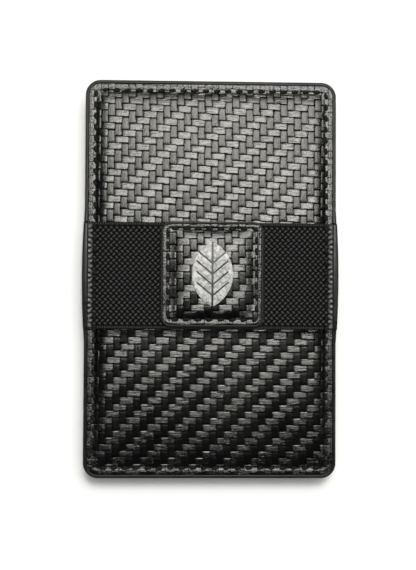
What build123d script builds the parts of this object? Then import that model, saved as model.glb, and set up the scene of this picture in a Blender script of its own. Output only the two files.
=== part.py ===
"""A slim card wallet with a money band: a padded front panel and a notched back panel, each a laminate of
embossed leather, board, foil and lining, joined on three sides by folded elastic gussets, with a divider that
makes a one-card pocket behind the front panel, and an elastic band across the front that carries a padded badge.
+X is across the face, +Y towards the mouth of the pockets and +Z out of the front face.
The origin is the middle of the outline on the back face. Millimetres."""

import math
import os

from build123d import *

# The outline, over the painted edges.
width = 64.0
length = 101.0
corner_radius = 3.8
coat = 1.0  # how thick the edge paint stands round the leather
band_bulge = 0.6  # how far the front edge swells where the band is sewn in
bulge_half_length = 17.0

# The layers, from the back face to the front.
leather = 0.7
board = 0.4
foil = 0.08
lining = 0.25
main_gap = 4.4  # room for five cards before the gussets stretch
gusset = 0.6
divider = 0.6
slim_gap = 1.2  # room for one card
front_padding = 0.7

back_board_z = leather
back_foil_z = back_board_z + board
back_lining_z = back_foil_z + foil
main_pocket_z = back_lining_z + lining
divider_z = main_pocket_z + main_gap
slim_pocket_z = divider_z + divider
front_lining_z = slim_pocket_z + slim_gap
front_foil_z = front_lining_z + lining
front_board_z = front_foil_z + foil
front_leather_z = front_board_z + board
margin_z = front_leather_z + leather
field_z = margin_z + front_padding
coat_lift = 0.1  # the back edge paint stays this far off the table

# The seam and the padded field inside it.
welt_width = 2.8
stitch_inset = 2.6
field_foot = 3.4  # from the outline to where the padding starts to rise
field_rise = 2.0
field_radius = 2.6

# The mouth.
notch_radius = 10.0
notch_depth = 19.0
notch_round = 3.6
divider_drop = 3.0  # the divider ends this far below the mouth
divider_notch_radius = 11.5
divider_notch_round = 2.6
divider_coat = 0.6

# The elastic band and the badge on it.
band_width = 27.0
band = 0.8
band_y = 0.65
badge_x = 0.3
badge_y = 1.0
badge_width = 26.0
badge_height = 26.6
badge_radius = 2.6
badge_coat = 0.6
badge_backer = 0.3
badge_base = 0.3
badge_padding = 0.6
badge_stitch_inset = 1.8
badge_field_foot = 2.5
badge_field_rise = 1.6
badge_field_radius = 1.6
backer_inset = 0.9
band_step = 1.0  # the band climbs onto the backer over this length

band_under_badge_z = field_z + badge_backer
badge_base_z = band_under_badge_z + band
badge_leather_z = badge_base_z + badge_base
badge_rim_z = badge_leather_z + leather
badge_field_z = badge_rim_z + badge_padding

# The thread.
stitch_pitch = 2.85
stitch_length = 2.3
thread = 0.5
thread_sunk = 0.1  # how far a stitch's middle lies under the leather's face
groove_half = 0.4  # the back seam lies in a groove, so that the thread is clear of the table
groove_depth = 0.35
back_thread_sunk = 0.28

# The leaf on the badge.
leaf_height = 16.4
leaf_width = 10.4
leaf_thick = 0.3
vein_depth = 0.14
midrib_width = 0.5
vein_width = 0.36
vein_angle = 40.0
vein_pairs = 4
vein_spacing = 2.7

left, right = -1, 1


def sheet(face, low, thick):
    """A flat layer: the face, raised from low by thick."""
    return extrude(Pos(0, 0, low) * face, amount=thick, dir=(0, 0, 1))


def panel(inset):
    """The whole outline, taken in by inset."""
    return RectangleRounded(width - 2 * inset, length - 2 * inset, corner_radius - inset)


def notched(face, top, radius, depth, rounding, inset=0.0):
    """A face with a thumb notch cut down from its top edge, the notch grown by inset."""
    centre = top + inset - depth + radius
    half = radius + inset
    slot = Pos(0, centre) * Circle(half)
    slot += Pos(0, (centre + top + depth) / 2) * Rectangle(2 * half, top + depth - centre)
    cut = face - slot
    lips = [v for v in cut.vertices() if abs(v.Y - top) < 0.01 and abs(abs(v.X) - half) < 0.01]
    return fillet(lips, rounding - inset)


def back_face(inset):
    """The back panel's outline with its notch, taken in by inset."""
    return notched(panel(inset), length / 2 - inset, notch_radius, notch_depth, notch_round, inset)


def divider_face(inset):
    """The divider's outline: the panel inside the edge paint, cut lower at the mouth and notched."""
    top = length / 2 - coat - divider_drop - inset
    cut = panel(coat) - Pos(0, top + length / 2) * Rectangle(width, length)
    depth = notch_depth - coat - divider_drop
    return notched(cut, top, divider_notch_radius, depth, divider_notch_round, inset)


def bulged(face):
    """A face whose two long sides swell where the band is sewn in."""
    radius = (bulge_half_length**2 + band_bulge**2) / (2 * band_bulge)
    for side in (left, right):
        edge = side * width / 2
        disc = Pos(edge + side * (band_bulge - radius), band_y) * Circle(radius)
        face += disc & Pos(edge, band_y) * Rectangle(2 * coat, 2 * bulge_half_length)
    return face


def mound(base, foot, rise, radius, size, low, high):
    """The padded field of a panel: straight sides from its foot up to its flat top."""
    wide, tall = size
    lower = RectangleRounded(wide - 2 * foot, tall - 2 * foot, radius)
    inset = foot + rise
    upper = RectangleRounded(wide - 2 * inset, tall - 2 * inset, radius)
    place = Pos(*base)
    return loft([place * Pos(0, 0, low) * lower, place * Pos(0, 0, high) * upper], ruled=True)


def margins(width_in, start=0.0):
    """The left, right and bottom strips of the seam, each width_in wide, from start inside its inner edge."""
    inner = width / 2 - coat - welt_width
    floor = -length / 2 + coat + welt_width
    middle = inner + start + width_in / 2
    made = {}
    for side, word in ((left, "left"), (right, "right")):
        made[word] = panel(coat) & Pos(side * middle, 0) * Rectangle(width_in, length)
    made["bottom"] = Pos(0, floor - start - width_in / 2) * Rectangle(2 * inner, width_in)
    return made


def stitch():
    """One stitch: a round-ended length of thread lying along X."""
    reach = stitch_length / 2
    end = thread / 2
    half = Pos(0, thread / 4) * Rectangle(stitch_length - thread, thread / 2)
    half += Pos(reach - end, 0) * Circle(end)
    half += Pos(-reach + end, 0) * Circle(end)
    upper = half & Pos(0, thread / 2) * Rectangle(stitch_length, thread)
    return revolve(upper, axis=Axis.X)


def seam(path, height):
    """Stitches end to end along a closed wire, each at the height that height(point) gives."""
    wire = path.wire()
    count = round(wire.length / stitch_pitch)
    one = stitch()
    run = []
    for number in range(count):
        along = (number + 0.5) / count
        point = wire @ along
        tangent = wire % along
        turn = math.degrees(math.atan2(tangent.Y, tangent.X))
        run.append(Pos(point.X, point.Y, height(point)) * Rot(0, 0, turn) * one)
    return Compound(children=run)


def back_panel():
    skin = sheet(back_face(coat), 0, leather)
    groove = back_face(stitch_inset - groove_half) - back_face(stitch_inset + groove_half)
    rim = back_face(0) - back_face(coat)
    return {
        "back_leather": skin - sheet(groove, 0, groove_depth),
        "back_board": sheet(back_face(coat), back_board_z, board),
        "back_shield": sheet(back_face(coat), back_foil_z, foil),
        "back_lining": sheet(back_face(coat), back_lining_z, lining),
        "back_edge_coat": sheet(rim, coat_lift, main_pocket_z - coat_lift),
        "back_stitching": seam(back_face(stitch_inset), lambda point: back_thread_sunk),
    }


def pockets():
    """The gussets, a folded strip each with its flanges in the two seams, and the divider on its welts."""
    parts = {}
    webs = margins(gusset)
    for word, strip in margins(welt_width).items():
        fold = sheet(strip, main_pocket_z, gusset)
        fold += sheet(strip, divider_z - gusset, gusset)
        fold += sheet(webs[word], main_pocket_z, main_gap)
        parts[f"gusset_{word}"] = fold
        parts[f"divider_welt_{word}"] = sheet(strip, slim_pocket_z, slim_gap)
    parts["card_divider"] = sheet(divider_face(divider_coat), divider_z, divider)
    lip = divider_face(0) - divider_face(divider_coat)
    parts["divider_edge_coat"] = sheet(lip, divider_z, divider)
    return parts


def on_band(point):
    """Whether a point of the front seam lies on one of the band's two ends."""
    beside = abs(point.X) > width / 2 - stitch_inset - 0.01
    return beside and abs(point.Y - band_y) < band_width / 2


def front_panel():
    size = (width, length)
    rise = (field_foot, field_rise, field_radius, size)
    pad = mound((0, 0, 0), *rise, front_leather_z, margin_z)
    skin = sheet(panel(coat), front_leather_z, leather)
    skin += mound((0, 0, 0), *rise, margin_z, field_z)
    skin -= pad
    rim = bulged(panel(0)) - panel(coat)
    band_ends = rim & Pos(0, band_y) * Rectangle(2 * width, band_width)
    mouth_half = width / 2 - coat - welt_width
    closed = rim - Pos(0, length / 2) * Rectangle(2 * mouth_half, length / 2)
    edge = sheet(rim, front_lining_z, margin_z - front_lining_z)
    edge += sheet(closed, divider_z, front_lining_z - divider_z)
    edge += sheet(band_ends, margin_z, band)
    stitch_z = margin_z - thread_sunk
    return {
        "front_lining": sheet(panel(coat), front_lining_z, lining),
        "front_shield": sheet(panel(coat), front_foil_z, foil),
        "front_board": sheet(panel(coat), front_board_z, board),
        "front_pad": pad,
        "front_leather": skin,
        "front_edge_coat": edge,
        "front_stitching": seam(panel(stitch_inset), lambda p: stitch_z + (band if on_band(p) else 0)),
    }


def elastic_band():
    """The band: it lies on the margin, climbs the padding, and steps up onto the backer under the badge."""
    end = width / 2 - coat
    foot = width / 2 - field_foot
    top = foot - field_rise
    step = badge_width / 2 - backer_inset
    right_side = [
        (badge_x + step, band_under_badge_z),
        (badge_x + step + band_step, field_z),
        (top, field_z),
        (foot, margin_z),
        (end, margin_z),
    ]
    left_side = [
        (-end, margin_z),
        (-foot, margin_z),
        (-top, field_z),
        (badge_x - step - band_step, field_z),
        (badge_x - step, band_under_badge_z),
    ]
    under = left_side + right_side
    over = [(x, z + band) for x, z in reversed(under)]
    profile = Plane.XZ * make_face(Polyline(*under, *over, close=True))
    strip = extrude(profile, amount=band_width / 2, both=True)
    return {"elastic_band": Pos(0, band_y) * strip}


def leaf():
    """A plain leaf, point up, with a midrib and slanting veins cut into its face."""
    half_width = leaf_width / 2
    radius = ((leaf_height / 2) ** 2 + half_width**2) / leaf_width
    blade = Pos(radius - half_width, 0) * Circle(radius) & Pos(half_width - radius, 0) * Circle(radius)
    veins = Rectangle(midrib_width, leaf_height)
    for pair in range(vein_pairs):
        start = (pair - (vein_pairs - 1) / 2) * vein_spacing - vein_spacing / 2
        for side in (left, right):
            reach = Pos(side * half_width / 2, 0) * Rectangle(half_width, vein_width)
            veins += Pos(0, start) * Rot(0, 0, side * vein_angle) * reach
    body = sheet(blade, badge_field_z, leaf_thick)
    return body - sheet(blade & veins, badge_field_z + leaf_thick - vein_depth, vein_depth)


def badge():
    centre = Pos(badge_x, badge_y)
    size = (badge_width, badge_height)

    def face(inset):
        return centre * RectangleRounded(
            badge_width - 2 * inset, badge_height - 2 * inset, badge_radius - inset
        )

    rise = (badge_field_foot, badge_field_rise, badge_field_radius, size)
    place = (badge_x, badge_y, 0)
    pad = mound(place, *rise, badge_leather_z, badge_rim_z)
    skin = sheet(face(badge_coat), badge_leather_z, leather)
    skin += mound(place, *rise, badge_rim_z, badge_field_z)
    skin -= pad
    rim = face(0) - face(badge_coat)
    backer = Pos(badge_x, band_y) * Rectangle(badge_width - 2 * backer_inset, band_width - 2 * backer_inset)
    stitch_z = badge_rim_z - thread_sunk
    return {
        "badge_backer": sheet(backer, field_z, badge_backer),
        "badge_base": sheet(face(badge_coat), badge_base_z, badge_base),
        "badge_pad": pad,
        "badge_leather": skin,
        "badge_edge_coat": sheet(rim, badge_base_z, badge_rim_z - badge_base_z),
        "badge_stitching": seam(face(badge_stitch_inset), lambda point: stitch_z),
        "badge_emblem": centre * leaf(),
    }


os.makedirs("parts", exist_ok=True)
for group in (back_panel(), pockets(), front_panel(), elastic_band(), badge()):
    for node, shape in group.items():
        export_step(shape, f"parts/{node}.step")
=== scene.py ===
import math

import bpy
import numpy as np
from mathutils import Matrix, Vector


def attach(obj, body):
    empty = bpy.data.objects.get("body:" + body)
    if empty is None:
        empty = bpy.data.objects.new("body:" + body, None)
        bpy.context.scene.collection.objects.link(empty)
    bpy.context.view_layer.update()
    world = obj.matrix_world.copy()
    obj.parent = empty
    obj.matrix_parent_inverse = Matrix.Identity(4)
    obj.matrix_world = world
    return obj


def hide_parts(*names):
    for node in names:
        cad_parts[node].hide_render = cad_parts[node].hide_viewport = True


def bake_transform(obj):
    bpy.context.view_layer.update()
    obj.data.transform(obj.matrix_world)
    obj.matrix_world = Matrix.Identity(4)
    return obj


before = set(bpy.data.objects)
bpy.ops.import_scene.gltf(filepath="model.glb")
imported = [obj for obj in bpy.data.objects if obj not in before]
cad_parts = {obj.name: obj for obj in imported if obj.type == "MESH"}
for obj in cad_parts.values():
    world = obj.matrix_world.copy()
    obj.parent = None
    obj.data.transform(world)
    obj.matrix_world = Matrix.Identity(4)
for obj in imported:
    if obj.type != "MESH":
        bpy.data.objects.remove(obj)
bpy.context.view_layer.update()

mm = 0.001


# ---- Back leather -------------------------------------------------------------------------------------------------
# One piece of black cowhide, embossed in the press with a two-over two-under twill of flat tows, and die-cut with
# the thumb notch at its top. It is glued face out over the back board, and its seam line is creased in with a hot
# iron before it is sewn, so the thread lies below the face.

outline_width = 64 * mm
outline_length = 101 * mm
outline_radius = 3.8 * mm
paint_width = 1.0 * mm
seam_depth = 2.6 * mm
tow_column = 1.76 * mm
tow_row = 1.68 * mm
tow_lift = 0.06 * mm
warp_crown, weft_crown = 0.05 * mm, 0.015 * mm
warp_lean, weft_lean = -0.015, 0.055
warp_drop, weft_drop = 3, 5
gather = 0.6
drift_x, drift_y = 0.12 * mm, 0.10 * mm


def lone(obj):
    """Leaves obj the only object that is selected, and active."""
    bpy.ops.object.select_all(action="DESELECT")
    obj.select_set(True)
    bpy.context.view_layer.objects.active = obj
    return obj


def points(obj):
    """The mesh's vertices as an array of rows."""
    flat = np.zeros(len(obj.data.vertices) * 3)
    obj.data.vertices.foreach_get("co", flat)
    return flat.reshape(-1, 3)


def put(obj, rows):
    """Moves the mesh's vertices to these rows."""
    obj.data.vertices.foreach_set("co", rows.ravel())
    obj.data.update()


def mark(obj, name, values):
    """Keeps one number for each vertex on the mesh, for its finish to read."""
    layer = obj.data.attributes.new(name, "FLOAT", "POINT")
    layer.data.foreach_set("value", np.asarray(values, np.float32))


def rounded(x, y, width, length, radius):
    """How far a point is inside a round-cornered rectangle; less than nothing outside it."""
    over_x = np.abs(x) - (width / 2 - radius)
    over_y = np.abs(y) - (length / 2 - radius)
    outer = np.hypot(np.maximum(over_x, 0), np.maximum(over_y, 0))
    return radius - outer - np.minimum(np.maximum(over_x, over_y), 0)


def front_cut(x, y):
    """How far a point is inside the front panel's outline."""
    return rounded(x, y, outline_width, outline_length, outline_radius)


def back_cut(x, y):
    """How far a point is inside the back panel's outline, with its notch and the notch's round lips."""
    notch_radius, notch_foot, lip = 10 * mm, 31.5 * mm, 3.6 * mm
    panel = -front_cut(x, y)
    centre = notch_foot + notch_radius
    above = y > centre
    notch = np.where(above, notch_radius - np.abs(x), notch_radius - np.hypot(x, y - centre))
    a, b = panel + lip, notch + lip
    corner = np.hypot(np.maximum(a, 0), np.maximum(b, 0))
    return lip - corner - np.minimum(np.maximum(a, b), 0)


def slope(cut, x, y):
    """The direction straight in from the outline at each point."""
    step = 2e-6
    gx = cut(x + step, y) - cut(x - step, y)
    gy = cut(x, y + step) - cut(x, y - step)
    size = np.maximum(np.hypot(gx, gy), 1e-12)
    return gx / size, gy / size


def twill(x, y, skew):
    """The embossed cloth: its height, and each point's place in it, counted in tows. The warps run along Y and lean
    back a little, and the wefts run along X and lean forward, less so toward the foot of the panel."""
    x, y = x + drift_x * np.sin(y / (9 * mm)), y + skew * x + drift_y * np.sin(x / (11 * mm))
    across_at, along_at = x / tow_column, y / tow_row
    column, row = np.floor(across_at), np.floor(along_at)
    u, v = 2 * (across_at - column) - 1, 2 * (along_at - row) - 1
    warp_run = np.mod(along_at - column + 2, 4) - 2
    warp = tow_lift * np.tanh(warp_drop * np.cos(math.pi / 2 * (along_at - column))) - warp_crown * u**4
    warp -= warp_lean * tow_row * warp_run
    weft = tow_lift * np.tanh(weft_drop * np.cos(math.pi / 2 * (across_at - row - 3))) - weft_crown * v**8
    weft -= weft_lean * tow_row * v / 2 * np.clip(1 + y / (94 * mm), 0.5, 1)
    return np.maximum(warp, weft) - tow_lift, across_at, along_at


def embossed_skin(name, middle, size, cell, cut, start, rise, seam, base, face, skew):
    """A skin cut to an outline from a fine grid, gathered to the edges of the tows and raised to its relief, with its
    edge turned down to base.
    rise gives the height of the smooth skin at a depth from the outline, and face is +1 up or -1 down."""
    bpy.ops.object.select_all(action="DESELECT")
    across, along = round(size[0] / cell), round(size[1] / cell)
    bpy.ops.mesh.primitive_grid_add(x_subdivisions=across, y_subdivisions=along, size=1)
    skin = bpy.context.object
    skin.name = name
    rows = points(skin) * (size[0], size[1], 1)
    rows += (middle[0], middle[1], 0)
    x, y = rows[:, 0], rows[:, 1]
    _, across_at, along_at = twill(x, y, skew(y))
    x = x - gather * tow_column * np.sin(math.tau * across_at) / math.tau
    y = y - gather * tow_row * np.sin(math.tau * along_at) / math.tau
    depth = cut(x, y) - start
    gx, gy = slope(cut, x, y)
    out = depth < 0
    rows[:, 0] = np.where(out, x - depth * gx, x)
    rows[:, 1] = np.where(out, y - depth * gy, y)
    faces = np.zeros(len(skin.data.polygons) * 4, int)
    skin.data.polygons.foreach_get("vertices", faces)
    waste = out[faces.reshape(-1, 4)].all(axis=1)
    x, y = rows[:, 0], rows[:, 1]
    depth = cut(x, y)
    height, across_at, along_at = twill(x, y, skew(y))
    ironed, rim_relief = 0.8, 0.25
    pressed = 1 - ironed * np.exp(-(((depth - seam) / (0.35 * mm)) ** 2))
    pressed *= np.where(depth < seam, rim_relief, 1)
    rows[:, 2] = rise(depth, x, y) + face * height * pressed
    put(skin, rows)
    mark(skin, "across_at", across_at)
    mark(skin, "along_at", along_at)
    mark(skin, "seam_line", np.exp(-(((depth - seam) / (0.28 * mm)) ** 2)))
    mark(skin, "rim", np.clip((seam - depth) / (0.3 * mm), 0, 1))
    lone(skin)
    bpy.ops.object.mode_set(mode="EDIT")
    bpy.ops.mesh.select_mode(type="FACE")
    bpy.ops.mesh.select_all(action="DESELECT")
    bpy.ops.object.mode_set(mode="OBJECT")
    skin.data.polygons.foreach_set("select", waste)
    bpy.ops.object.mode_set(mode="EDIT")
    bpy.ops.mesh.delete(type="FACE")
    bpy.ops.mesh.select_all(action="SELECT")
    bpy.ops.mesh.region_to_loop()
    bpy.ops.mesh.extrude_edges_move(TRANSFORM_OT_translate={"value": (0, 0, -face * 0.1 * mm)})
    bpy.ops.transform.resize(value=(1, 1, 0), center_override=(0, 0, base))
    bpy.ops.mesh.edge_face_add()
    bpy.ops.mesh.select_all(action="SELECT")
    bpy.ops.mesh.normals_make_consistent(inside=False)
    bpy.ops.object.mode_set(mode="OBJECT")
    bpy.ops.object.shade_smooth_by_angle(angle=math.radians(50))
    return skin


def finish_of(name):
    """A new material with its plain shader, ready for nodes."""
    material = bpy.data.materials.new(name)
    material.use_nodes = True
    return material, material.node_tree.nodes["Principled BSDF"]


def add(material, kind, values=None, **settings):
    """One more node on the material; values are numbers, or outputs of other nodes, by input."""
    made = material.node_tree.nodes.new(kind)
    for name, value in settings.items():
        setattr(made, name, value)
    for socket, value in (values or {}).items():
        if isinstance(value, bpy.types.NodeSocket):
            material.node_tree.links.new(value, made.inputs[socket])
        else:
            made.inputs[socket].default_value = value
    return made


def feed(material, output, socket):
    material.node_tree.links.new(output, socket)


def wear(obj, material):
    """Gives obj this one finish."""
    obj.data.materials.clear()
    obj.data.materials.append(material)


def calc(material, operation, *values):
    """One step of arithmetic on the material."""
    return add(material, "ShaderNodeMath", dict(enumerate(values)), operation=operation).outputs[0]


def embossed_leather():
    """Black semi-gloss leather. Every tow is a flat pill with fine lines drawn along it, so it throws light across
    itself. Shade is painted into its colour and gloss: in the creases between the tows, at their diving ends, at the
    warps' tips, in the lows of the fine lines and of the rim's cracks, and a little over every warp. The leather is
    rougher there too."""
    m, shader = finish_of("embossed_leather")
    place = add(m, "ShaderNodeTexCoord").outputs["Object"]
    kept = {name: add(m, "ShaderNodeAttribute", attribute_name=name).outputs["Fac"]
            for name in ("across_at", "along_at", "seam_line", "rim")}
    # For the warps and then the wefts: how far along its float a point is, and how near the float's outline.
    tows = []
    for lead, cross, shift, fullness in (("along_at", "across_at", 0.0, 6.0), ("across_at", "along_at", 3.0, 12.0)):
        step = calc(m, "ADD", calc(m, "FLOOR", kept[cross]), shift)
        run = calc(m, "WRAP", calc(m, "SUBTRACT", kept[lead], step), 2.0, -2.0)
        end = calc(m, "ABSOLUTE", run)
        side = calc(m, "ABSOLUTE", calc(m, "MULTIPLY_ADD", calc(m, "FRACT", kept[cross]), 2.0, -1.0))
        tows.append((run, end, calc(m, "ADD", calc(m, "POWER", side, fullness), calc(m, "POWER", end, 7.0))))
    weft = calc(m, "GREATER_THAN", tows[0][1], 1.0)
    run, end, pill = (add(m, "ShaderNodeMix", {0: weft, 2: warp_has, 3: weft_has}, data_type="FLOAT").outputs[0]
                      for warp_has, weft_has in zip(*tows))
    crease = add(m, "ShaderNodeMapRange", {0: pill, 1: 0.92, 2: 1.14}, interpolation_type="SMOOTHSTEP").outputs[0]
    # Fine lines, drawn along each kind of tow.
    lines = []
    for scale in ((3400, 420, 700), (420, 3400, 700)):
        stretched = add(m, "ShaderNodeMapping", {"Vector": place, "Scale": scale}).outputs[0]
        noise = add(m, "ShaderNodeTexNoise", {"Vector": stretched, "Scale": 1.0, "Detail": 3.0, "Roughness": 0.65})
        lines.append(noise.outputs["Fac"])
    drawn = add(m, "ShaderNodeMix", {0: weft, 2: lines[0], 3: lines[1]}, data_type="FLOAT").outputs[0]
    grain = add(m, "ShaderNodeTexNoise", {"Vector": place, "Scale": 2300.0, "Detail": 3.0, "Roughness": 0.65})
    patches = add(m, "ShaderNodeTexNoise", {"Vector": place, "Scale": 90.0, "Detail": 2.0})
    # Painted shade, dark in colour and gloss: the end that dives, the warps' tips, the creases, the lows of the streaks
    # and the rim's cracks.
    dive = add(m, "ShaderNodeMapRange", {0: run, 1: -0.5, 2: -1.05, 3: 0.0, 4: 0.55}).outputs[0]
    tip = add(m, "ShaderNodeMapRange", {0: end, 1: 0.7, 2: 0.88, 3: 0.0, 4: 1.0}).outputs[0]
    dive = calc(m, "MAXIMUM", dive, calc(m, "MULTIPLY", tip, calc(m, "SUBTRACT", 1.0, weft)))
    streak = add(m, "ShaderNodeMapRange", {0: drawn, 1: 0.47, 2: 0.33, 3: 0.0, 4: 0.6}).outputs[0]
    painted_shade = calc(m, "MAXIMUM", calc(m, "MAXIMUM", crease, dive), streak)
    # Painted shade on every warp, so the warps come out darker than the wefts.
    painted_shade = calc(m, "MAXIMUM", painted_shade, calc(m, "MULTIPLY_ADD", weft, -0.4, 0.4))
    painted_shade = calc(m, "MULTIPLY", painted_shade, calc(m, "MULTIPLY_ADD", kept["rim"], -0.8, 1.0))
    cracks = add(m, "ShaderNodeMapRange", {0: grain.outputs["Fac"], 1: 0.47, 2: 0.39, 3: 0.0, 4: 0.7}).outputs[0]
    painted_shade = calc(m, "MAXIMUM", painted_shade, calc(m, "MULTIPLY", cracks, kept["rim"]))
    painted_shade = calc(m, "MULTIPLY", painted_shade, calc(m, "MULTIPLY_ADD", kept["seam_line"], -0.5, 1.0))
    colour = add(m, "ShaderNodeMix", {0: painted_shade, 6: (0.0008, 0.0008, 0.0007, 1), 7: (0.0002, 0.0002, 0.0002, 1)},
                 data_type="RGBA").outputs[2]
    feed(m, colour, shader.inputs["Base Color"])
    # Metallic over the near-black colour takes the reflection away, so the painted shade darkens the gloss too.
    feed(m, calc(m, "MULTIPLY", painted_shade, 0.9), shader.inputs["Metallic"])
    dull = add(m, "ShaderNodeMapRange", {0: drawn, 1: 0.3, 2: 0.7, 3: 0.105, 4: 0.175}).outputs[0]
    dull = calc(m, "ADD", dull, calc(m, "MULTIPLY", weft, 0.03))
    worn = add(m, "ShaderNodeMapRange", {0: patches.outputs["Fac"], 1: 0.35, 2: 0.65, 3: -0.02, 4: 0.03}).outputs[0]
    rough = calc(m, "ADD", calc(m, "ADD", dull, worn), calc(m, "MULTIPLY", painted_shade, 0.2))
    feed(m, rough, shader.inputs["Roughness"])
    # Relief finer than the mesh: the pill's shoulders, the drawn lines and the pebbled grain.
    body = calc(m, "MULTIPLY", calc(m, "POWER", pill, 3.5), -1.0)
    shaped = add(m, "ShaderNodeBump", {"Strength": 1.0, "Distance": 0.00003, "Height": body}).outputs[0]
    fine = add(m, "ShaderNodeBump",
               {"Strength": 1.0, "Distance": 0.00006, "Height": drawn, "Normal": shaped}).outputs[0]
    crumbs = calc(m, "MULTIPLY", grain.outputs["Fac"], calc(m, "MULTIPLY_ADD", kept["rim"], 2.6, 0.35))
    both = add(m, "ShaderNodeBump", {"Strength": 0.6, "Distance": 0.00004, "Height": crumbs, "Normal": fine}).outputs[0]
    feed(m, both, shader.inputs["Normal"])
    return m


def back_rise(depth, x, y):
    """The back lies flat, its tows just clear of the table, and dips only at the seam and at the pared edge."""
    clear, groove, pared = 0.07 * mm, 0.30 * mm, 0.06 * mm
    crease = groove * np.exp(-(((depth - seam_depth) / (0.4 * mm)) ** 2))
    return clear + crease + pared * np.clip(1 - (depth - paint_width) / (0.5 * mm), 0, 1)


leather = embossed_leather()
back_skin = embossed_skin("back_skin", (0, 0), (62.2 * mm, 99.2 * mm), 0.34 * mm, back_cut, paint_width, back_rise,
                          seam_depth, 0.7 * mm, -1, lambda y: 0.01 + 0 * y)
wear(back_skin, leather)
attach(back_skin, "back")
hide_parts("back_leather")


# ---- Back board, shield and lining --------------------------------------------------------------------------------
# A stiff fibreboard, a shielding foil and a woven nylon lining, each die-cut to the panel and glued in a stack
# behind the leather. Only the lining shows, down the pocket and through the notch.

def fibreboard():
    m, shader = finish_of("fibreboard")
    place = add(m, "ShaderNodeTexCoord").outputs["Object"]
    fibres = add(m, "ShaderNodeTexNoise", {"Vector": place, "Scale": 900.0, "Detail": 5.0, "Roughness": 0.7})
    ramp = add(m, "ShaderNodeValToRGB", {0: fibres.outputs["Fac"]})
    ramp.color_ramp.elements[0].color = (0.16, 0.13, 0.10, 1)
    ramp.color_ramp.elements[1].color = (0.42, 0.36, 0.28, 1)
    feed(m, ramp.outputs[0], shader.inputs["Base Color"])
    bump = add(m, "ShaderNodeBump", {"Strength": 0.4, "Distance": 0.00005, "Height": fibres.outputs["Fac"]})
    feed(m, bump.outputs[0], shader.inputs["Normal"])
    shader.inputs["Roughness"].default_value = 0.9
    return m


def shielding_foil():
    m, shader = finish_of("shielding_foil")
    place = add(m, "ShaderNodeTexCoord").outputs["Object"]
    creases = add(m, "ShaderNodeTexNoise", {"Vector": place, "Scale": 160.0, "Detail": 4.0, "Distortion": 1.2})
    rolled = add(m, "ShaderNodeMapping", {"Vector": place, "Scale": (6000, 90, 90)}).outputs[0]
    lines = add(m, "ShaderNodeTexNoise", {"Vector": rolled, "Scale": 1.0, "Detail": 2.0})
    rough = add(m, "ShaderNodeMapRange", {0: lines.outputs["Fac"], 3: 0.28, 4: 0.48}).outputs[0]
    feed(m, rough, shader.inputs["Roughness"])
    bump = add(m, "ShaderNodeBump", {"Strength": 0.3, "Distance": 0.0001, "Height": creases.outputs["Fac"]})
    feed(m, bump.outputs[0], shader.inputs["Normal"])
    shader.inputs["Base Color"].default_value = (0.78, 0.79, 0.8, 1)
    shader.inputs["Metallic"].default_value = 1.0
    return m


def woven_nylon():
    """A plain black lining cloth, its threads half a millimetre apart."""
    m, shader = finish_of("woven_nylon")
    place = add(m, "ShaderNodeTexCoord").outputs["Object"]
    threads = []
    for direction in ("X", "Y"):
        wave = add(m, "ShaderNodeTexWave", {"Vector": place, "Scale": 320.0, "Distortion": 0.4, "Detail": 1.0},
                   bands_direction=direction)
        threads.append(wave.outputs["Fac"])
    cloth = add(m, "ShaderNodeMath", {0: threads[0], 1: threads[1]}, operation="MULTIPLY").outputs[0]
    # Painted highlight: the cloth is coloured lighter where the threads stand highest, and darker between them as
    # painted shade.
    ramp = add(m, "ShaderNodeMix", {0: cloth, 6: (0.006, 0.006, 0.007, 1), 7: (0.035, 0.035, 0.038, 1)},
               data_type="RGBA").outputs[2]
    feed(m, ramp, shader.inputs["Base Color"])
    rough = add(m, "ShaderNodeMapRange", {0: cloth, 3: 0.8, 4: 0.55}).outputs[0]
    feed(m, rough, shader.inputs["Roughness"])
    bump = add(m, "ShaderNodeBump", {"Strength": 0.6, "Distance": 0.00008, "Height": cloth})
    feed(m, bump.outputs[0], shader.inputs["Normal"])
    shader.inputs["Sheen Weight"].default_value = 0.15
    return m


board_finish, foil_finish, lining_finish = fibreboard(), shielding_foil(), woven_nylon()
wear(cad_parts["back_board"], board_finish)
wear(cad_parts["back_shield"], foil_finish)
wear(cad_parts["back_lining"], lining_finish)


# ---- Back edge paint ----------------------------------------------------------------------------------------------
# The cut edge of the back stack is sanded and built up with coats of black edge paint, which stand round it as a
# smooth bead and run on round the thumb notch.

def rounded_copy(name, node, radius, steps=4, angle=35):
    """A CAD piece with its doubled points merged and its sharp edges rolled over."""
    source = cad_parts[node]
    piece = bpy.data.objects.new(name, source.data.copy())
    bpy.context.scene.collection.objects.link(piece)
    lone(piece)
    bpy.ops.object.mode_set(mode="EDIT")
    bpy.ops.mesh.select_all(action="SELECT")
    bpy.ops.mesh.remove_doubles(threshold=1e-6)
    bpy.ops.mesh.dissolve_limited(angle_limit=math.radians(0.5))
    bpy.ops.object.mode_set(mode="OBJECT")
    roll = piece.modifiers.new("roll", "BEVEL")
    roll.width, roll.segments, roll.limit_method = radius, steps, "ANGLE"
    roll.angle_limit = math.radians(angle)
    bpy.ops.object.modifier_apply(modifier="roll")
    bpy.ops.object.shade_smooth_by_angle(angle=math.radians(40))
    return piece


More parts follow.
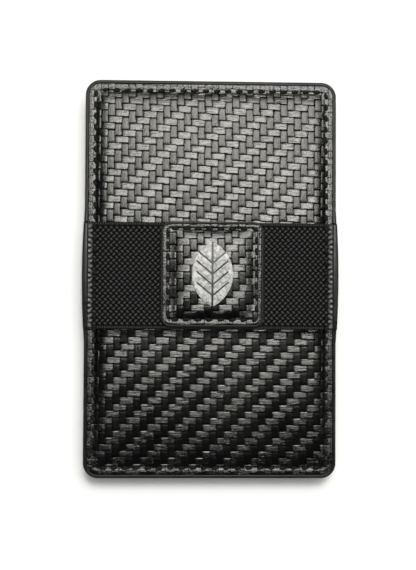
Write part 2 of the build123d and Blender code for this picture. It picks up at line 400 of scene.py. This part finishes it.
def edge_paint():
    """Gloss black paint, laid on by hand: slightly uneven, with dust and brush marks under the last coat."""
    m, shader = finish_of("edge_paint")
    place = add(m, "ShaderNodeTexCoord").outputs["Object"]
    swell = add(m, "ShaderNodeTexNoise", {"Vector": place, "Scale": 260.0, "Detail": 2.0})
    dust = add(m, "ShaderNodeTexNoise", {"Vector": place, "Scale": 3500.0, "Detail": 2.0})
    tone = add(m, "ShaderNodeMix", {0: swell.outputs["Fac"], 6: (0.002, 0.002, 0.002, 1), 7: (0.007, 0.007, 0.007, 1)},
               data_type="RGBA").outputs[2]
    feed(m, tone, shader.inputs["Base Color"])
    rough = add(m, "ShaderNodeMapRange", {0: swell.outputs["Fac"], 1: 0.3, 2: 0.7, 3: 0.25, 4: 0.4}).outputs[0]
    feed(m, rough, shader.inputs["Roughness"])
    low = add(m, "ShaderNodeBump", {"Strength": 0.5, "Distance": 0.00012, "Height": swell.outputs["Fac"]}).outputs[0]
    both = add(m, "ShaderNodeBump", {"Strength": 0.15, "Distance": 0.00003, "Height": dust.outputs["Fac"],
                                     "Normal": low}).outputs[0]
    feed(m, both, shader.inputs["Normal"])
    shader.inputs["Specular IOR Level"].default_value = 0.14
    return m


paint = edge_paint()
back_bead = rounded_copy("back_bead", "back_edge_coat", 0.4 * mm)
wear(back_bead, paint)
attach(back_bead, "back")
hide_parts("back_edge_coat")


# ---- Back stitching -----------------------------------------------------------------------------------------------
# A lockstitch in waxed black thread, two plies twisted together. Each stitch leans a little to the seam, bellies in
# the middle and dives into its two holes.

stitch_pitch, stitch_long, stitch_radius = 2.85 * mm, 2.0 * mm, 0.46 * mm
back_thread_height = 0.54 * mm


def one_stitch():
    """A stitch along X, modelled once: a thin round bar, twisted into plies and pulled down at both ends."""
    bpy.ops.object.select_all(action="DESELECT")
    bpy.ops.mesh.primitive_cylinder_add(vertices=8, radius=stitch_radius, depth=stitch_long,
                                        end_fill_type="NOTHING", rotation=(0, math.pi / 2, 0))
    stitch = bpy.context.object
    bpy.ops.object.transform_apply(rotation=True)
    bpy.ops.object.mode_set(mode="EDIT")
    bpy.ops.mesh.select_all(action="DESELECT")
    bpy.ops.object.mode_set(mode="OBJECT")
    for edge in stitch.data.edges:
        a, b = (stitch.data.vertices[v].co for v in edge.vertices)
        edge.select = abs(a.x - b.x) > mm
    bpy.ops.object.mode_set(mode="EDIT")
    bpy.ops.mesh.subdivide_edgering(number_cuts=8)
    bpy.ops.object.mode_set(mode="OBJECT")
    rows = points(stitch)
    s = rows[:, 0] / (stitch_long / 2)
    angle = np.arctan2(rows[:, 2], rows[:, 1])
    swell = (1 - 0.45 * s**4) * (1 + 0.16 * np.cos(2 * (angle - 2.6 * s)))
    rows[:, 1] *= swell
    rows[:, 2] = rows[:, 2] * swell - 0.5 * mm * np.abs(s) ** 3.2
    put(stitch, rows)
    bpy.ops.object.mode_set(mode="EDIT")
    bpy.ops.mesh.select_all(action="SELECT")
    bpy.ops.mesh.fill_holes(sides=0)
    bpy.ops.mesh.normals_make_consistent(inside=False)
    bpy.ops.object.mode_set(mode="OBJECT")
    bpy.ops.object.shade_smooth()
    return stitch


def sewing_line(cut, depth, start):
    """Where the stitches of a seam fall: their middles and directions, evenly round the outline at a depth."""
    step, fewest, most = 0.1 * mm, 200, 6000
    here, path = Vector(start), []
    while len(path) < fewest or (here - path[0]).length > 0.8 * step:
        gx, gy = slope(cut, here.x, here.y)
        here = here + (depth - float(cut(here.x, here.y))) * Vector((gx, gy))
        path.append(here.copy())
        here = here + step * Vector((gy, -gx))
        if len(path) > most:
            break
    path = np.array([list(p) for p in path])
    gaps = np.linalg.norm(np.roll(path, -1, axis=0) - path, axis=1)
    travelled = np.concatenate([[0], np.cumsum(gaps)])
    closed = np.vstack([path, path[:1]])
    count = round(travelled[-1] / stitch_pitch)
    line = []
    for number in range(count):
        at = (number + 0.5) / count * travelled[-1]
        places = [np.array([np.interp(s, travelled, closed[:, k]) for k in (0, 1)]) for s in (at, at - step, at + step)]
        line.append((places[0], math.atan2(*(places[2] - places[1])[::-1])))
    return line


def sew(name, line, height, up, seed):
    """Copies the stitch to every place on the line and joins them into one seam."""
    rng = np.random.default_rng(seed)
    copies = []
    for (x, y), angle in line:
        each = bpy.data.objects.new(name, stitch.data.copy())
        bpy.context.scene.collection.objects.link(each)
        lean = angle + math.radians(rng.normal(7, 1.5))
        turn = Matrix.Translation((x, y, height(x, y))) @ Matrix.Rotation(lean, 4, "Z")
        if up < 0:
            turn = turn @ Matrix.Rotation(math.pi, 4, "X")
        each.data.transform(turn @ Matrix.Scale(rng.normal(1, 0.03), 4))
        copies.append(each)
    bpy.ops.object.select_all(action="DESELECT")
    for each in copies:
        each.select_set(True)
    bpy.context.view_layer.objects.active = copies[0]
    bpy.ops.object.join()
    seam = bpy.context.object
    seam.name = name
    wear(seam, thread_finish)
    return seam


def waxed_thread():
    m, shader = finish_of("waxed_thread")
    place = add(m, "ShaderNodeTexCoord").outputs["Object"]
    fuzz = add(m, "ShaderNodeTexNoise", {"Vector": place, "Scale": 5200.0, "Detail": 3.0, "Roughness": 0.7})
    tone = add(m, "ShaderNodeMix",
               {0: fuzz.outputs["Fac"], 6: (0.0008, 0.0008, 0.0008, 1), 7: (0.005, 0.005, 0.005, 1)},
               data_type="RGBA").outputs[2]
    feed(m, tone, shader.inputs["Base Color"])
    rough = add(m, "ShaderNodeMapRange", {0: fuzz.outputs["Fac"], 3: 0.4, 4: 0.7}).outputs[0]
    feed(m, rough, shader.inputs["Roughness"])
    shader.inputs["Specular IOR Level"].default_value = 0.12
    bump = add(m, "ShaderNodeBump", {"Strength": 0.5, "Distance": 0.00005, "Height": fuzz.outputs["Fac"]})
    feed(m, bump.outputs[0], shader.inputs["Normal"])
    return m


stitch = one_stitch()
thread_finish = waxed_thread()
back_line = sewing_line(back_cut, seam_depth, (-29.4 * mm, 0))
back_seam = sew("back_seam", back_line, lambda x, y: back_thread_height, -1, 11)
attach(back_seam, "back")
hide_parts("back_stitching")


# ---- Elastic gussets ----------------------------------------------------------------------------------------------
# Three strips of black elastic, each folded into a channel with its flanges out. The flanges are caught in the front
# and back seams and the web stands inside, so the pocket can stretch and spring back.

def ribbed_elastic():
    m, shader = finish_of("ribbed_elastic")
    place = add(m, "ShaderNodeTexCoord").outputs["Object"]
    ribs = add(m, "ShaderNodeTexWave", {"Vector": place, "Scale": 330.0, "Distortion": 0.3}, bands_direction="Z")
    yarns = add(m, "ShaderNodeTexNoise", {"Vector": place, "Scale": 2600.0, "Detail": 3.0})
    mixed = add(m, "ShaderNodeMath", {0: ribs.outputs["Fac"], 1: yarns.outputs["Fac"]}, operation="MULTIPLY").outputs[0]
    # Painted highlight: the rib tops are coloured lighter than the furrows between them, which get painted shade.
    tone = add(m, "ShaderNodeMix", {0: mixed, 6: (0.004, 0.004, 0.004, 1), 7: (0.05, 0.05, 0.05, 1)},
               data_type="RGBA").outputs[2]
    feed(m, tone, shader.inputs["Base Color"])
    rough = add(m, "ShaderNodeMapRange", {0: mixed, 3: 0.9, 4: 0.65}).outputs[0]
    feed(m, rough, shader.inputs["Roughness"])
    bump = add(m, "ShaderNodeBump", {"Strength": 0.8, "Distance": 0.0002, "Height": mixed})
    feed(m, bump.outputs[0], shader.inputs["Normal"])
    shader.inputs["Sheen Weight"].default_value = 0.2
    return m


gusset_finish = ribbed_elastic()
web_foot, fold_height = 2.1 * mm, 0.43 * mm
for side in ("left", "right", "bottom"):
    folded = rounded_copy(f"folded_gusset_{side}", f"gusset_{side}", 0.22 * mm, 3)
    lone(folded)
    bpy.ops.object.mode_set(mode="EDIT")
    for level in range(1, 8):
        bpy.ops.mesh.select_all(action="SELECT")
        bpy.ops.mesh.bisect(plane_co=(0, 0, web_foot + fold_height * level), plane_no=(0, 0, 1))
    bpy.ops.object.mode_set(mode="OBJECT")
    wear(folded, gusset_finish)
    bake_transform(folded)
    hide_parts(f"gusset_{side}")


# ---- Card divider, its lip and its welts --------------------------------------------------------------------------
# A stiff sheet of plain leather behind the front panel, held off it on three sides by strips of the same leather,
# which makes the one-card pocket. Its top is cut in a wide dip for a finger and painted like the edges.

def plain_leather():
    """Smooth split leather, with fine pebbled grain."""
    m, shader = finish_of("plain_leather")
    place = add(m, "ShaderNodeTexCoord").outputs["Object"]
    pebbles = add(m, "ShaderNodeTexVoronoi", {"Vector": place, "Scale": 1500.0}, feature="DISTANCE_TO_EDGE")
    grain = add(m, "ShaderNodeTexNoise", {"Vector": place, "Scale": 700.0, "Detail": 4.0})
    tone = add(m, "ShaderNodeMix", {0: grain.outputs["Fac"], 6: (0.008, 0.008, 0.008, 1), 7: (0.028, 0.027, 0.027, 1)},
               data_type="RGBA").outputs[2]
    feed(m, tone, shader.inputs["Base Color"])
    rough = add(m, "ShaderNodeMapRange", {0: grain.outputs["Fac"], 3: 0.5, 4: 0.7}).outputs[0]
    feed(m, rough, shader.inputs["Roughness"])
    bump = add(m, "ShaderNodeBump", {"Strength": 0.5, "Distance": 0.00008, "Height": pebbles.outputs["Distance"]})
    feed(m, bump.outputs[0], shader.inputs["Normal"])
    return m


divider_finish = plain_leather()
for node in ("card_divider", "divider_welt_left", "divider_welt_right", "divider_welt_bottom"):
    wear(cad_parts[node], divider_finish)
divider_lip = rounded_copy("divider_lip", "divider_edge_coat", 0.2 * mm, 3)
wear(divider_lip, paint)
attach(divider_lip, "front")
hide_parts("divider_edge_coat")


# ---- Front lining, shield, board and padding ----------------------------------------------------------------------
# The same stack as the back, in the other order, and on top of it a thin sheet of foam, cut smaller than the panel
# and skived at its edges, that lifts the leather inside the seam.

def soft_foam():
    m, shader = finish_of("soft_foam")
    place = add(m, "ShaderNodeTexCoord").outputs["Object"]
    pores = add(m, "ShaderNodeTexVoronoi", {"Vector": place, "Scale": 2400.0}, feature="F1")
    tone = add(m, "ShaderNodeMix", {0: pores.outputs["Distance"], 6: (0.03, 0.03, 0.032, 1), 7: (0.12, 0.12, 0.125, 1)},
               data_type="RGBA").outputs[2]
    feed(m, tone, shader.inputs["Base Color"])
    bump = add(m, "ShaderNodeBump", {"Strength": 0.7, "Distance": 0.0001, "Height": pores.outputs["Distance"]})
    feed(m, bump.outputs[0], shader.inputs["Normal"])
    shader.inputs["Roughness"].default_value = 0.95
    return m


foam_finish = soft_foam()
wear(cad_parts["front_lining"], lining_finish)
wear(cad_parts["front_shield"], foil_finish)
wear(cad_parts["front_board"], board_finish)
front_foam = rounded_copy("front_foam", "front_pad", 0.25 * mm, 3, 12)
wear(front_foam, foam_finish)
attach(front_foam, "front")
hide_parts("front_pad")


# ---- Front leather ------------------------------------------------------------------------------------------------
# The same embossed leather as the back, wet-formed over the foam: a flat rim, a seam line pressed in with the iron
# and, inside it, a padded field that swells out.

margin_top = 9.06 * mm
field_top = 9.76 * mm


def front_rise(depth, x, y):
    """The height of the smooth skin: the rim, the pressed seam, and the padding's round shoulder, which sags to the
    far ends and is squeezed out in a low ridge along the lower edge of the elastic."""
    field_width, field_length, field_radius = outline_width - 5.2 * mm, outline_length - 5.8 * mm, 3.2 * mm
    inner = rounded(x, y, field_width, field_length, field_radius)
    shoulder = np.sin(math.pi / 2 * np.clip(inner / (3.4 * mm), 0, 1)) ** 0.9
    crease = 0.05 * mm * np.exp(-(((depth - seam_depth) / (0.4 * mm)) ** 2))
    rim = 0.04 * mm * np.exp(-(((depth - 1.75 * mm) / (0.45 * mm)) ** 2))
    sag = np.where(y < 0, 0.55 * mm * (y / (47 * mm)) ** 4, 0.25 * mm * (y / (47 * mm)) ** 2)
    sag += 0.10 * mm * (x / (28 * mm)) ** 2 - 0.12 * mm * np.exp(-(((y + 12.9 * mm) / (0.9 * mm)) ** 2))
    return margin_top + (field_top - margin_top - 0.02 * mm - sag) * shoulder - crease + rim


front_skin = embossed_skin("front_skin", (0, 0), (62.2 * mm, 99.2 * mm), 0.27 * mm, front_cut, paint_width,
                           front_rise, seam_depth, 8.36 * mm, 1, lambda y: 0.014 + 0.014 * np.tanh(y / (18 * mm)))
wear(front_skin, leather)
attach(front_skin, "front")
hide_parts("front_leather")


# ---- Front edge paint ---------------------------------------------------------------------------------------------
# One bead of paint over the edges of the divider, the welts and the front stack together. It is built higher and
# wider where it covers the two cut ends of the elastic band.

front_bead = rounded_copy("front_bead", "front_edge_coat", 0.46 * mm, 5)
wear(front_bead, paint)
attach(front_bead, "front")
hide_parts("front_edge_coat")


# ---- Front stitching ----------------------------------------------------------------------------------------------
# The same thread round the front panel. It runs through leather, board, divider, welts and gusset flange, and over
# the two ends of the elastic band, which it holds down.

band_middle, band_half, band_thick = 0.65 * mm, 13.5 * mm, 0.8 * mm


def front_thread_height(x, y):
    on_band = abs(x) > 29.2 * mm and abs(y - band_middle) < band_half
    return margin_top + (band_thick if on_band else 0) - 0.02 * mm


front_line = sewing_line(front_cut, seam_depth, (-29.4 * mm, 0))
front_seam = sew("front_seam", front_line, front_thread_height, 1, 12)
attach(front_seam, "front")
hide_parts("front_stitching")


# ---- Elastic band -------------------------------------------------------------------------------------------------
# Black woven elastic, one inch of rubber cores under a plain weave that stands up in a chequer of small knuckles,
# with a firm selvedge on both sides. It is sewn down at its two ends only and the badge holds its middle.

knuckle_x, knuckle_y = 0.70 * mm, 0.76 * mm
badge_x, badge_y = 0.3 * mm, 1.0 * mm


def band_under(x):
    """The height of the band's underside: on the rim, up the padding, along the field, and up onto the backer."""
    stations = np.array([-31, -28.6, -26.6, -12.8, -11.8, 12.4, 13.4, 26.6, 28.6, 31]) * mm
    heights = np.array([9.06, 9.06, 9.76, 9.76, 10.06, 10.06, 9.76, 9.76, 9.06, 9.06]) * mm
    near = [np.interp(x + shift * mm, stations, heights) for shift in (-0.9, -0.6, -0.3, 0, 0.3, 0.6, 0.9)]
    return np.mean(near, axis=0)


def woven_band(name, low, high, cell):
    """One half of the band between two stations along X."""
    bpy.ops.object.select_all(action="DESELECT")
    across, along = round((high - low) / cell), round(2 * band_half / cell)
    bpy.ops.mesh.primitive_grid_add(x_subdivisions=across, y_subdivisions=along, size=1)
    band = bpy.context.object
    band.name = name
    rows = points(band) * (high - low, 2 * band_half, 1)
    rows += ((low + high) / 2, band_middle, 0)
    x, y = rows[:, 0], rows[:, 1] - band_middle
    edge = band_half - np.abs(y)
    column, row = x / knuckle_x, y / knuckle_y
    lean = 0.22 * np.sin(math.pi * row)
    chequer = np.cos(math.pi * (column + lean)) * np.cos(math.pi * row)
    knuckle = np.maximum(chequer, 0) ** 0.8
    inner = np.clip((edge - 0.9 * mm) / (0.4 * mm), 0, 1)
    ribs = 0.5 + 0.5 * np.cos(2 * math.pi * x / (0.62 * mm))
    hem = np.clip(1 - np.abs(edge - 0.42 * mm) / (0.42 * mm), 0, 1) ** 0.5
    rows[:, 2] = band_under(x) + band_thick - 0.13 * mm
    rows[:, 2] += inner * 0.15 * mm * knuckle + (1 - inner) * (0.10 * mm * hem * (0.6 + 0.4 * ribs))
    rows[:, 2] -= 0.18 * mm * np.clip(1 - edge / (0.16 * mm), 0, 1)
    put(band, rows)
    mark(band, "knuckle", inner * knuckle + (1 - inner) * hem * ribs * 0.7)
    mark(band, "raw_end", np.clip((np.abs(x) - 29.9 * mm) / (0.5 * mm), 0, 1))
    lone(band)
    bpy.ops.object.mode_set(mode="EDIT")
    bpy.ops.mesh.select_all(action="SELECT")
    bpy.ops.object.mode_set(mode="OBJECT")
    thick = band.modifiers.new("cloth", "SOLIDIFY")
    thick.thickness, thick.offset = 0.62 * mm, -1
    bpy.ops.object.modifier_apply(modifier="cloth")
    bpy.ops.object.shade_smooth_by_angle(angle=math.radians(60))
    return band


def woven_elastic():
    m, shader = finish_of("woven_elastic")
    place = add(m, "ShaderNodeTexCoord").outputs["Object"]
    top = add(m, "ShaderNodeAttribute", attribute_name="knuckle").outputs["Fac"]
    raw = add(m, "ShaderNodeAttribute", attribute_name="raw_end").outputs["Fac"]
    drawn = add(m, "ShaderNodeMapping", {"Vector": place, "Scale": (9000, 2600, 2600)}).outputs[0]
    yarn = add(m, "ShaderNodeTexNoise", {"Vector": drawn, "Scale": 1.0, "Detail": 2.0, "Roughness": 0.6})
    cores = add(m, "ShaderNodeTexWave", {"Vector": place, "Scale": 250.0, "Distortion": 1.5, "Detail": 1.0},
                bands_direction="Y")
    ends = add(m, "ShaderNodeMath", {0: cores.outputs["Fac"], 1: raw}, operation="MULTIPLY").outputs[0]
    # Painted highlight and shade: the knuckle tops are coloured lighter, and the metallic over the near-black colour
    # takes the reflection out of the hollows between them.
    lit_knuckle_tops = add(m, "ShaderNodeMath", {0: top, 1: yarn.outputs["Fac"]}, operation="MULTIPLY").outputs[0]
    tone = add(m, "ShaderNodeMix", {0: lit_knuckle_tops, 6: (0.003, 0.003, 0.003, 1), 7: (0.046, 0.046, 0.046, 1)},
               data_type="RGBA").outputs[2]
    tone = add(m, "ShaderNodeMix", {0: ends, 6: tone, 7: (0.12, 0.12, 0.12, 1)}, data_type="RGBA").outputs[2]
    feed(m, tone, shader.inputs["Base Color"])
    shade = add(m, "ShaderNodeMapRange", {0: top, 1: 0.05, 2: 0.4, 3: 0.75, 4: 0.0}).outputs[0]
    feed(m, shade, shader.inputs["Metallic"])
    rough = add(m, "ShaderNodeMapRange", {0: lit_knuckle_tops, 3: 0.9, 4: 0.62}).outputs[0]
    feed(m, rough, shader.inputs["Roughness"])
    bump = add(m, "ShaderNodeBump", {"Strength": 0.5, "Distance": 0.00006, "Height": yarn.outputs["Fac"]})
    feed(m, bump.outputs[0], shader.inputs["Normal"])
    shader.inputs["Specular IOR Level"].default_value = 0.18
    return m


band_finish = woven_elastic()
for name, low, high, held, free in (("band_left", -31 * mm, badge_x, -28.4 * mm, -12.9 * mm),
                                    ("band_right", badge_x, 31 * mm, 28.4 * mm, 13.5 * mm)):
    band = woven_band(name, low, high, 0.165 * mm)
    wear(band, band_finish)
    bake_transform(band)
    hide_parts("elastic_band")


# ---- Badge backer and base ----------------------------------------------------------------------------------------
# Two patches of plain leather that clamp the elastic between them. The badge is sewn through both.

badge_sole = rounded_copy("badge_sole", "badge_base", 0.08 * mm, 2)
wear(badge_sole, divider_finish)
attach(badge_sole, "badge")
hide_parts("badge_base")
wear(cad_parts["badge_backer"], divider_finish)


# ---- Badge padding and leather ------------------------------------------------------------------------------------
# A small foam pad under a square of the embossed leather, with round corners, formed over it as on the front.

badge_wide, badge_tall, badge_corner = 26 * mm, 26.6 * mm, 2.6 * mm
badge_seam = 1.8 * mm
badge_rim = 11.86 * mm
badge_top = 12.46 * mm

badge_foam = rounded_copy("badge_foam", "badge_pad", 0.2 * mm, 3, 12)
wear(badge_foam, foam_finish)
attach(badge_foam, "badge")
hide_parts("badge_pad")


def badge_cut(x, y):
    return rounded(x - badge_x, y - badge_y, badge_wide, badge_tall, badge_corner)


def badge_rise(depth, x, y):
    inner = rounded(x - badge_x, y - badge_y, badge_wide - 4 * mm, badge_tall - 4 * mm, 2 * mm)
    dome = 0.22 * mm * ((x - badge_x) ** 2 + 0.8 * (y - badge_y) ** 2) / (11 * mm) ** 2
    dome += 0.45 * mm * np.clip((np.abs(x - badge_x) - 5.5 * mm) / (5.5 * mm), 0, 1) ** 2
    shoulder = np.sin(math.pi / 2 * np.clip(inner / (2.6 * mm), 0, 1)) ** 0.9
    crease = 0.09 * mm * np.exp(-(((depth - badge_seam) / (0.28 * mm)) ** 2))
    rim = 0.04 * mm * np.exp(-(((depth - 1.0 * mm) / (0.4 * mm)) ** 2))
    return badge_rim + (badge_top - badge_rim + 0.03 * mm - dome) * shoulder - crease + rim


badge_skin = embossed_skin("badge_skin", (badge_x, badge_y), (24.9 * mm, 25.5 * mm), 0.15 * mm, badge_cut, 0.6 * mm,
                           badge_rise, badge_seam, 11.16 * mm, 1, lambda y: -0.02 + 0 * y)
wear(badge_skin, leather)
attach(badge_skin, "badge")
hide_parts("badge_leather")


# ---- Badge edge paint and stitching -------------------------------------------------------------------------------
# The badge's edge is painted in the same bead, a little thinner, and sewn round with the same thread.

badge_bead = rounded_copy("badge_bead", "badge_edge_coat", 0.25 * mm, 4)
wear(badge_bead, paint)
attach(badge_bead, "badge")
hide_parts("badge_edge_coat")

badge_line = sewing_line(badge_cut, badge_seam, (badge_x - badge_wide / 2 + badge_seam, badge_y))
badge_thread = sew("badge_thread", badge_line, lambda x, y: badge_rim - 0.04 * mm, 1, 13)
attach(badge_thread, "badge")
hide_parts("badge_stitching")


# ---- Badge emblem -------------------------------------------------------------------------------------------------
# A plain leaf cut from thin silvered metal with its veins etched and filled black, glued to the middle of the badge.

def silvered_leaf():
    m, shader = finish_of("silvered_leaf")
    place = add(m, "ShaderNodeTexCoord").outputs["Object"]
    height = add(m, "ShaderNodeSeparateXYZ", {0: place}).outputs["Z"]
    # Everything lower than the leaf's face is coloured black: the etched veins, and also the side walls, which draws a
    # dark line round the leaf.
    etched = add(m, "ShaderNodeMapRange", {0: height, 1: 0.01270, 2: 0.01266, 3: 0.0, 4: 1.0}).outputs[0]
    mottle = add(m, "ShaderNodeTexNoise", {"Vector": place, "Scale": 1300.0, "Detail": 4.0, "Roughness": 0.7})
    ramp = add(m, "ShaderNodeValToRGB", {0: mottle.outputs["Fac"]})
    ramp.color_ramp.elements[0].position, ramp.color_ramp.elements[1].position = 0.36, 0.6
    ramp.color_ramp.elements[0].color = (0.075, 0.075, 0.072, 1)
    ramp.color_ramp.elements[1].color = (0.26, 0.26, 0.255, 1)
    tone = add(m, "ShaderNodeMix", {0: etched, 6: ramp.outputs[0], 7: (0.004, 0.004, 0.004, 1)},
               data_type="RGBA").outputs[2]
    feed(m, tone, shader.inputs["Base Color"])
    metal = add(m, "ShaderNodeMapRange", {0: etched, 3: 0.1, 4: 0.0}).outputs[0]
    feed(m, metal, shader.inputs["Metallic"])
    rough = add(m, "ShaderNodeMapRange", {0: mottle.outputs["Fac"], 3: 0.55, 4: 0.35}).outputs[0]
    feed(m, rough, shader.inputs["Roughness"])
    bump = add(m, "ShaderNodeBump", {"Strength": 0.5, "Distance": 0.00006, "Height": mottle.outputs["Fac"]})
    feed(m, bump.outputs[0], shader.inputs["Normal"])
    return m


leaf = rounded_copy("leaf", "badge_emblem", 0.05 * mm, 2)
wear(leaf, silvered_leaf())
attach(leaf, "badge")
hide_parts("badge_emblem")
bpy.data.objects.remove(stitch)


# ---- Table --------------------------------------------------------------------------------------------------------
# A wide sheet of matt paper that the wallet lies on. It is pale, and the lights are strong enough to show it white.

bpy.ops.object.select_all(action="DESELECT")
bpy.ops.mesh.primitive_plane_add(size=12)
table = bpy.context.object
table.name = "table"
paper, shader = finish_of("white_paper")
tooth = add(paper, "ShaderNodeTexNoise",
            {"Vector": add(paper, "ShaderNodeTexCoord").outputs["Object"], "Scale": 900.0, "Detail": 3.0})
bump = add(paper, "ShaderNodeBump", {"Strength": 0.05, "Distance": 0.0001, "Height": tooth.outputs["Fac"]})
feed(paper, bump.outputs[0], shader.inputs["Normal"])
shader.inputs["Base Color"].default_value = (0.42, 0.42, 0.42, 1)
shader.inputs["Roughness"].default_value = 0.9
shader.inputs["Specular IOR Level"].default_value = 0.1
wear(table, paper)


# ---- Lights and camera --------------------------------------------------------------------------------------------
# A softbox hangs beyond the mouth end, with a fainter one behind it, so the far half of the leather mirrors them and
# the near half doesn't. A small key lamp and a wide ceiling whiten the paper, and a ring of faint low panels stands
# in for the walls of a bright room.

def softbox(name, size, place, aim, radiance, colour=(1, 1, 1), mirrored=True):
    lamp = bpy.data.lights.new(name, "AREA")
    lamp.shape, lamp.color = "RECTANGLE", colour
    lamp.size, lamp.size_y = size
    lamp.energy = radiance * math.pi * size[0] * size[1]
    box = bpy.data.objects.new(name, lamp)
    bpy.context.scene.collection.objects.link(box)
    box.location = place
    box.visible_glossy = mirrored
    box.rotation_euler = (Vector(aim) - Vector(place)).to_track_quat("-Z", "Y").to_euler()
    return box


softbox("sky", (0.31, 0.24), (0.055, 0.16, 0.6), (0.055, 0.16, 0), 17.5, (1, 0.985, 0.92))
softbox("sky_far", (0.31, 0.10), (0.055, 0.33, 0.6), (0.055, 0.33, 0), 8.0, (1, 0.985, 0.92))
softbox("key", (0.3, 0.3), (0.05, 0.5, 1.5), (0, 0, 0), 77.0, mirrored=False)
softbox("ceiling", (1.6, 1.6), (0, 0, 1.2), (0, 0, 0), 1.7, mirrored=False)
walls, room_radius, wall_height = 8, 1.2, 0.5
for number in range(walls):
    bearing = math.tau * (number + 0.5) / walls
    wall = (room_radius * math.cos(bearing), room_radius * math.sin(bearing), wall_height)
    softbox(f"wall_{number}", (0.98, 0.6), wall, (0, 0, wall_height), 0.55)

world = bpy.data.worlds.new("room")
bpy.context.scene.world = world
world.use_nodes = True
world.node_tree.nodes["Background"].inputs["Color"].default_value = (0.8, 0.9, 1.0, 1)
world.node_tree.nodes["Background"].inputs["Strength"].default_value = 0.03

lens = bpy.data.cameras.new("camera")
lens.lens = 74.6
camera = bpy.data.objects.new("camera", lens)
bpy.context.scene.collection.objects.link(camera)
aim, camera_distance = Vector((-0.66 * mm, -1.62 * mm, 9 * mm)), 0.3
roll, side, down = (math.radians(angle) for angle in (0.28, -2.4, 1.9))
turn = Matrix.Rotation(roll, 3, "Z") @ Matrix.Rotation(side, 3, "Y") @ Matrix.Rotation(down, 3, "X")
camera.location = aim + turn @ Vector((0, 0, camera_distance))
camera.rotation_euler = turn.to_euler()
lens.clip_start = 0.01
bpy.context.scene.camera = camera
bpy.context.scene.view_settings.view_transform = "Standard"
